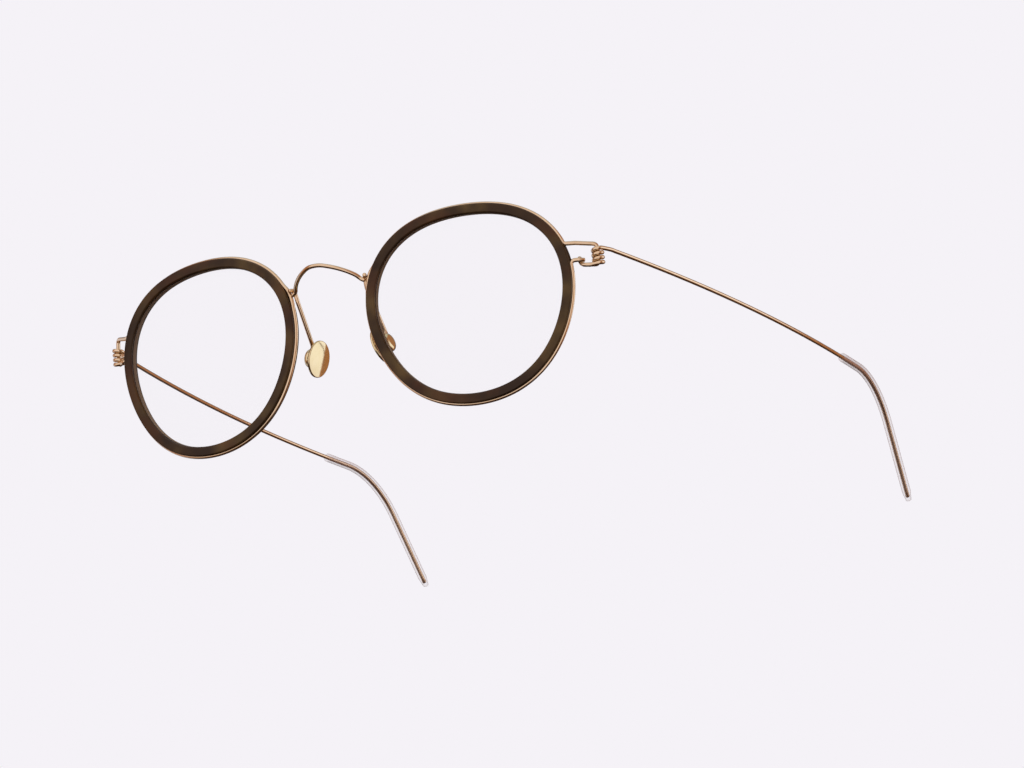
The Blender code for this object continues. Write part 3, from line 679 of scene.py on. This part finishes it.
def rim_wire_line(head_height, head_reach, knee_lift):
    sweep = 2 * pi - UPPER_EXIT + LOWER_EXIT
    angles = [LOWER_EXIT - sweep * n / RIM_STEPS for n in range(RIM_STEPS + 1)]
    ring = [rim_point(angle, SNUG - stand_off(angle), MIDDLE) for angle in angles]
    off_ring = ring[0] + (ring[0] - ring[1]).normalized()
    free_end = bent([*(by_pin(*place) for place in FREE_END), off_ring, ring[0]], FREE_RADII)
    head = by_pin(head_reach, head_height)
    knee = ring[-1].lerp(head, KNEE_SHARE) + Vector((0, 0, knee_lift))
    pin_top = by_pin(0, head_height - HEAD_DROP)
    arm = bent([ring[-2], ring[-1], knee, head, pin_top, *(by_pin(*place) for place in BAR)],
               [SHARP, SHARP, SOFT, GENTLE, SHARP])
    hook = flowing([by_pin(*place) for place in HOOK])
    return free_end[:-1] + ring + arm[2:-1] + hook


for side, corner in HINGES.items():
    ring_wire = finish_mesh(wire(rim_wire_line(*corner)), WIRE_SMOOTHING)
    seat(ring_wire, side + "_ring_wire", gold, "front", side + "_rim_wire",
         right=side == "right")

# %% [markdown]
# ## Bridge and pad arms
#
# Three wires meet at each rim: the rim wire, the bridge and the pad arm. The bridge is an arch that
# swings down and back from its middle, and its ends are soldered to the rim wires. Each pad arm
# starts with a cut end in front, bends over the bridge's end, to which it is soldered, and runs
# down behind to the nose pad. The lines are given as a few places round the joint, joined smoothly.

# %% Bend the bridge and the pad arms
PAD_LEAN = radians(15.7)
pad_centre = Vector((7.6, 5.4, -4.6))              # middle of the face that touches the nose
pad_away = Vector((cos(PAD_LEAN), 0.02, sin(PAD_LEAN))).normalized()
pad_up = Vector((-sin(PAD_LEAN), 0.0, cos(PAD_LEAN)))
PIVOT_DEPTH = 2.2                  # from the pad's face to the middle of the wire in its boss
pivot = pad_centre + pad_away * PIVOT_DEPTH
ELBOW_HEIGHT = 2.6                 # above the pivot, along the wire's end
ELBOW_RADIUS = 1.4
END_BELOW_PIVOT = 1.2

ARCH_ANGLES = (74, 62, 50, 39, 29, 20)
ARCH_HALF_WIDTH = 8.18
ARCH_FOOT, ARCH_RISE = 9.05, 3.7
ARCH_DEPTH, ARCH_SWING = -1.15, 5.9
ARCH_POWER, SWING_POWER = 1.34, 1.56          # above 1, they draw the arch inside an ellipse
ARCH_TOP = Vector((0.0, -7.0, 12.62))

# Places as distance outward, backward and upward from the joint.
ARCH_END = ((2.24, -0.42, 0.24), (1.80, -0.30, 0.06), (0.95, -0.24, -0.08))
CROOK = ((1.02, -0.97, 0.99), (1.21, -0.50, 1.0), (1.40, -0.02, 0.97), (1.47, 0.34, 0.70),
         (1.37, 0.52, 0.27), (1.08, 0.85, -0.71), (0.82, 1.14, -1.49))


def by_joint(out, back, rise):
    return joint + outward * out + backward * back + upward * rise


half_arch = []
for angle in (radians(degree) for degree in ARCH_ANGLES):
    half_arch.append(Vector((ARCH_HALF_WIDTH * cos(angle) ** ARCH_POWER,
                             ARCH_DEPTH - ARCH_SWING * sin(angle) ** SWING_POWER,
                             ARCH_FOOT + ARCH_RISE * sin(angle) ** ARCH_POWER)))
half_arch += [by_joint(*place) for place in ARCH_END]
mirrored = [ACROSS_NOSE @ place for place in half_arch[::-1]]
bridge = finish_mesh(wire(flowing(mirrored + [ARCH_TOP] + half_arch)), WIRE_SMOOTHING)
seat(bridge, "nose_bridge", gold, "front", "bridge_wire")

crook = [by_joint(*place) for place in CROOK]
elbow = pivot + pad_up * ELBOW_HEIGHT
arm = bent([crook[-1], elbow, pivot - pad_up * END_BELOW_PIVOT], [ELBOW_RADIUS])
pad_arm = finish_mesh(wire(flowing(crook) + arm[1:]), WIRE_SMOOTHING)
seat_pair(pad_arm, ("left_pad_arm", "right_pad_arm"), gold, ("front", "front"),
          ("bridge_wire", "bridge_wire"))

# %% [markdown]
# ## Temples
#
# Each temple is a straight wire with a very slight inward bow. Behind the ear it bends down and a
# little inwards. At the front it is wound three and a quarter times round the hinge pin. The line
# is walked step by step: each stretch has a length, and its heading turns evenly along it.

# %% Coil and bend the temples
COIL_RADIUS = 0.94
COIL_PITCH = 1.03
COIL_TURNS = 3.25
COIL_STEPS = 120
COIL_TAIL = ((-1.9, -1.12, -0.05), (-0.9, -0.97, -0.02))       # the cut end, from the coil's foot
TEMPLE_YAW = radians(10)
TEMPLE_DROP = radians(6.4)
TEMPLE_TOP = 7.20                  # height where the wire leaves the coil
STRAIGHT_OUT = 1.2                 # where the straight line begins, away from the pin
STRAIGHT_HEIGHT = 7.4
EAR_TURN, EAR_TUCK = radians(51), radians(4.6)                 # downwards and inwards
STRETCHES = ((112.1, 1.5, -0.2242, 0.0),                       # length, step, turns of yaw and drop
             (21.4, 0.7, -EAR_TUCK, EAR_TURN),
             (19.0, 1.5, 0.0, 0.0))


def heading(yaw, drop):
    """The direction turned outwards by the yaw and downwards by the drop."""
    return Vector((sin(yaw) * cos(drop), cos(yaw) * cos(drop), -sin(drop)))


coil_sweep = 2 * pi * COIL_TURNS - TEMPLE_YAW
coil_rise = COIL_PITCH * coil_sweep / (2 * pi)
coil_foot = TEMPLE_TOP - coil_rise
coil = [pin + Vector((out, back, coil_foot + up)) for out, back, up in COIL_TAIL]
for n in range(COIL_STEPS + 1):
    angle = -pi / 2 + coil_sweep * n / COIL_STEPS
    coil.append(pin + Vector((COIL_RADIUS * cos(angle), COIL_RADIUS * sin(angle),
                              coil_foot + coil_rise * n / COIL_STEPS)))

place = pin + Vector((STRAIGHT_OUT * cos(TEMPLE_YAW), -STRAIGHT_OUT * sin(TEMPLE_YAW),
                      STRAIGHT_HEIGHT))
yaw, drop = TEMPLE_YAW, TEMPLE_DROP
straight = []
for length, step, yaw_turn, drop_turn in STRETCHES:
    count = ceil(length / step)
    for n in range(count):
        share = (n + 0.5) / count
        place = place + heading(yaw + yaw_turn * share, drop + drop_turn * share) * (length / count)
        straight.append(place)
    yaw += yaw_turn
    drop += drop_turn
temple_line = coil + flowing([coil[-1], *straight[1:4]], steps=4)[1:] + straight[4:]
temple = finish_mesh(wire(temple_line), WIRE_SMOOTHING)
seat_pair(temple, ("left_temple_rod", "right_temple_rod"), gold, ("left_temple", "right_temple"),
          ("left_temple_wire", "right_temple_wire"))

# %% [markdown]
# ## Sleeves
#
# The clear sleeve covers the last 50 mm of the temple. It is a tube with a closed, rounded tip, and
# the wire ends a millimetre before it. Two tubes are bent along the same line, the skin and the
# bore. Both are left open at the front, joined into one mesh, and their open ends are bridged into
# the lip.

# %% Pull on the sleeves
SLEEVE_LENGTH = 50.5
SLEEVE_RADIUS = 1.02
SLEEVE_TIP = 1.0                   # the part of it beyond the wire's end
SLEEVE_FIT = 0.05                  # between the wire and the bore
LIP_BEYOND = 5.0                   # the open ends are farther than this from the tip

covered = [straight[-1]]
left_over = SLEEVE_LENGTH - SLEEVE_TIP
for here, before in zip(straight[::-1], straight[-2::-1]):
    span = (before - here).length
    if span >= left_over:
        covered.append(here.lerp(before, left_over / span))
        break
    covered.append(before)
    left_over -= span
covered.reverse()
onward = (covered[-1] - covered[-2]).normalized()
tip = covered[-1] + onward * SLEEVE_TIP
bore_end = covered[-1] + onward * SLEEVE_FIT

skin = wire(covered[:-1] + [tip], SLEEVE_RADIUS, open_start=True)
bore = wire(covered[:-1] + [bore_end], WIRE / 2 + SLEEVE_FIT, open_start=True)
covered_length = sum((b - a).length for a, b in zip(covered, covered[1:]))
print("the sleeve covers", round(covered_length, 1), "mm of wire")

# %% Round the tip, bridge the lip and close the ends
for vertex in skin.data.vertices:
    behind_tip = (tip - vertex.co).dot(onward)
    if behind_tip < SLEEVE_RADIUS:
        spine = tip - onward * behind_tip
        away = vertex.co - spine
        full = sqrt(max(SLEEVE_RADIUS ** 2 - (SLEEVE_RADIUS - behind_tip) ** 2, 0.0))
        vertex.co = spine + away.normalized() * min(away.length, full)

select_only(skin)
bore.select_set(True)
bpy.ops.object.join()
bpy.ops.object.mode_set(mode="EDIT")
bpy.ops.mesh.select_all(action="DESELECT")
bpy.ops.mesh.select_mode(type="EDGE")
tube = bmesh.from_edit_mesh(skin.data)
for edge in tube.edges:
    middle = (edge.verts[0].co + edge.verts[1].co) / 2
    edge.select_set(edge.is_boundary and (middle - tip).dot(onward) < -LIP_BEYOND)
bmesh.update_edit_mesh(skin.data)
bpy.ops.mesh.bridge_edge_loops()
bpy.ops.mesh.select_all(action="DESELECT")
bpy.ops.mesh.select_non_manifold()
bpy.ops.mesh.fill_holes(sides=0)
bpy.ops.object.mode_set(mode="OBJECT")
finish_mesh(skin, smooth_below=50.0)
seat_pair(skin, ("left_ear_sleeve", "right_ear_sleeve"), silicone, ("left_temple", "right_temple"),
          ("left_temple_sleeve", "right_temple_sleeve"))

# %% [markdown]
# ## Nose pads
#
# Each pad is a small polished coin with a boss on its back, and the pad arm ends inside the boss.
# The coin is a cylinder whose edges are bevelled. The boss is a second cylinder, and a wide bevel
# turns its back into a dome. A drill, a thin cylinder along the arm's end, makes the hole with a
# Boolean modifier, so the pad can rock on the arm.

# %% Press the coins
PAD_RADIUS = 4.0
PAD_THICKNESS = 0.55
pad_place = Matrix((pad_up, pad_away.cross(pad_up), pad_away)).transposed().to_4x4()
pad_place.translation = pad_centre


def cylinder(sides, radius, depth, move):
    bpy.ops.object.select_all(action="DESELECT")
    bpy.ops.mesh.primitive_cylinder_add(vertices=sides, radius=radius, depth=depth)
    made = bpy.context.object
    made.data.transform(move)
    made.location = (0, 0, 0)
    return made


def bevel_flats(piece, low, high, width, steps):
    """Bevels the edges of the level faces that lie between two heights."""
    bpy.ops.object.mode_set(mode="EDIT")
    bpy.ops.mesh.select_mode(type="FACE")
    bpy.ops.mesh.select_all(action="DESELECT")
    shape = bmesh.from_edit_mesh(piece.data)
    for face in shape.faces:
        height = face.calc_center_median().z
        face.select_set(abs(face.normal.z) > 0.9 and low < height < high)
    bmesh.update_edit_mesh(piece.data)
    bpy.ops.mesh.bevel(offset=width, segments=steps, affect="EDGES")
    bpy.ops.object.mode_set(mode="OBJECT")


coin = cylinder(96, PAD_RADIUS, PAD_THICKNESS, Matrix.Translation((0, 0, PAD_THICKNESS / 2)))
bevel_flats(coin, -1.0, 1.0, width=0.18, steps=5)
finish_mesh(coin, smooth_below=20.0)
coin.data.transform(pad_place)
seat_pair(coin, ("left_pad_coin", "right_pad_coin"), pad_gold, ("left_pad", "right_pad"),
          ("left_pad_plate", "right_pad_plate"))

# %% Turn and drill the bosses
BOSS_RADIUS = 2.1
BOSS_TOP = 3.0
DRILL_START = -1.3                 # below the pivot, along the arm's end
DRILL_LENGTH = 4.0
DRILL_FIT = 0.05                   # between the arm and its hole

boss = cylinder(72, BOSS_RADIUS, BOSS_TOP - PAD_THICKNESS,
                Matrix.Translation((0, 0, (BOSS_TOP + PAD_THICKNESS) / 2)))
bevel_flats(boss, BOSS_TOP - 0.1, BOSS_TOP + 0.1, width=0.95, steps=9)
finish_mesh(boss, smooth_below=30.0)

drill = cylinder(32, WIRE / 2 + DRILL_FIT, DRILL_LENGTH,
                 Matrix.Translation((DRILL_START + DRILL_LENGTH / 2, 0, PIVOT_DEPTH))
                 @ Matrix.Rotation(pi / 2, 4, "Y"))
finish_mesh(drill)
hole = boss.modifiers.new("hole", "BOOLEAN")
hole.operation = "DIFFERENCE"
hole.solver = "EXACT"
hole.object = drill
select_only(boss)
bpy.ops.object.modifier_apply(modifier=hole.name)
bpy.data.objects.remove(drill)
finish_mesh(boss, smooth_below=30.0)
boss.data.transform(pad_place)
seat_pair(boss, ("left_pad_boss", "right_pad_boss"), pad_gold, ("left_pad", "right_pad"),
          ("left_pad_cup", "right_pad_cup"))

# %% [markdown]
# ## Floor
#
# The glasses are seen from slightly below, so the floor lies well under them and outside the view,
# as for an object held up in front of a pale wall. It is a plain, pale sheet. A weak glow of its
# own brings it to the brightness of the background, and it neither lights nor mirrors in the
# glasses.

# %% Floor
FLOOR_SIZE = 6.0                   # metres
FLOOR_BELOW = 0.6

bpy.ops.object.select_all(action="DESELECT")
bpy.ops.mesh.primitive_plane_add(size=FLOOR_SIZE, location=(0, 0, -FLOOR_BELOW))
floor = bpy.context.object
floor.name = "floor"
paper = Finish("pale_paper")
paper.wear(Base_Color=(0.45, 0.47, 0.50), Roughness=0.9, Emission_Color=(0.58, 0.59, 0.62),
           Emission_Strength=1.0)
floor.data.materials.append(paper.owner)
floor.visible_glossy = False
floor.visible_diffuse = False
print("floor", round(-floor.location.z, 2), "m below the glasses")

# %% [markdown]
# ## Studio light
#
# Polished wire is a row of tiny mirrors, so its look is the room's look. The room here has warm
# brown walls, a dark floor, a pale grey ceiling and a dark corner far behind. A pale screen stands
# in front, a narrow one on the left of the picture, and a large bright window behind the glasses on
# its right. They make the cream bands along each wire, and the dark floor makes the dark line below
# them. Every direction is an angle round the room, from the front over the wearer's left, and an
# angle above the horizon. The view itself sees a plain pale background.

# %% World
PANE_EDGE = 149.1                  # the window's far edge, in degrees round the room
DEGREES = 180 / pi
BROWN_WALL = (0.40, 0.19, 0.095)
DARK_FLOOR = (0.045, 0.025, 0.016)
CEILING = (0.60, 0.60, 0.62)
CORNER_LOW, CORNER_HIGH = (0.075, 0.05, 0.04), (0.28, 0.26, 0.26)
LEFT_SCREEN = (0.70, 0.68, 0.78)
FRONT_SCREEN = (0.86, 0.765, 0.78)
PANE = (1.13, 1.13, 1.24)
BACKGROUND = (0.913, 0.888, 0.930)

world = bpy.data.worlds.new("studio")
bpy.context.scene.world = world
studio = Finish("studio", world)
way = studio.node("ShaderNodeTexCoord", output="Generated")
split = studio.tree.nodes.new("ShaderNodeSeparateXYZ")
studio.feed(split.inputs[0], way)
sideways, rearward, height = (Value(studio, output) for output in split.outputs)


def between(value, low, high):
    """0 below low, 1 above high, and smooth in between."""
    return studio.node("ShaderNodeMapRange", {"interpolation_type": "SMOOTHSTEP"},
                       {"Value": value, "From Min": low, "From Max": high})


def band(value, low, high, soft_low, soft_high):
    """1 between low and high, and 0 outside; each edge is softened by its own width."""
    return between(value, low - soft_low, low + soft_low) * (
        1 - between(value, high - soft_high, high + soft_high))


azimuth = DEGREES * studio.node("ShaderNodeMath", {"operation": "ARCTAN2"},
                                {0: sideways, 1: 0 - rearward})
elevation = DEGREES * studio.node("ShaderNodeMath", {"operation": "ARCSINE"}, {0: height})
low_edge = between(elevation + 0.35 * azimuth, -50, -26)     # it reaches lower on the right
front_screen = band(azimuth, -55, 54, 12, 16) * low_edge * (1 - between(elevation, 50, 90))
left_screen = band(azimuth, -114, -86, 8, 8) * band(elevation, -36, 30, 10, 14)
pane = band(azimuth, 92, PANE_EDGE, 14, 0.08) * band(elevation, -13, 27, 12, 13)
far_corner = 1 - band(azimuth, -118, 168, 6, 6)
corner = studio.blend(between(elevation, 12, 34), CORNER_LOW, CORNER_HIGH)
room = studio.blend(far_corner, BROWN_WALL, corner)
room = studio.blend(between(elevation, -38, -16), DARK_FLOOR, room)
room = studio.blend(between(elevation, 42, 66), room, CEILING)
room = studio.blend(left_screen, room, LEFT_SCREEN)
room = studio.blend(front_screen, room, FRONT_SCREEN)
room = studio.blend(pane, room, PANE)
seen = studio.node("ShaderNodeLightPath", output="Is Camera Ray")
background = studio.tree.nodes["Background"]
studio.feed(background.inputs["Color"], studio.blend(seen, room, BACKGROUND))
print("world:", len(studio.tree.nodes), "nodes")

# %% Soft lights
SOFT_WHITE = (1.0, 0.98, 0.96)


def soft_light(name, place, size, power):
    """A lamp that shines at the glasses and is not mirrored in them."""
    data = bpy.data.lights.new(name, "AREA")
    data.shape = "RECTANGLE"
    data.size, data.size_y = size
    data.energy = power
    data.color = SOFT_WHITE
    lamp = bpy.data.objects.new(name, data)
    bpy.context.scene.collection.objects.link(lamp)
    lamp.location = place
    lamp.rotation_mode = "QUATERNION"
    lamp.rotation_quaternion = (-Vector(place)).to_track_quat("-Z", "Y")
    lamp.visible_glossy = False
    print(name, "at", [round(c, 2) for c in place])


soft_light("key", (-0.5, -0.9, 1.1), (0.9, 0.6), 9.0)
soft_light("fill", (1.2, -0.3, 0.6), (0.5, 0.9), 4.0)
bpy.context.scene.view_settings.view_transform = "Standard"
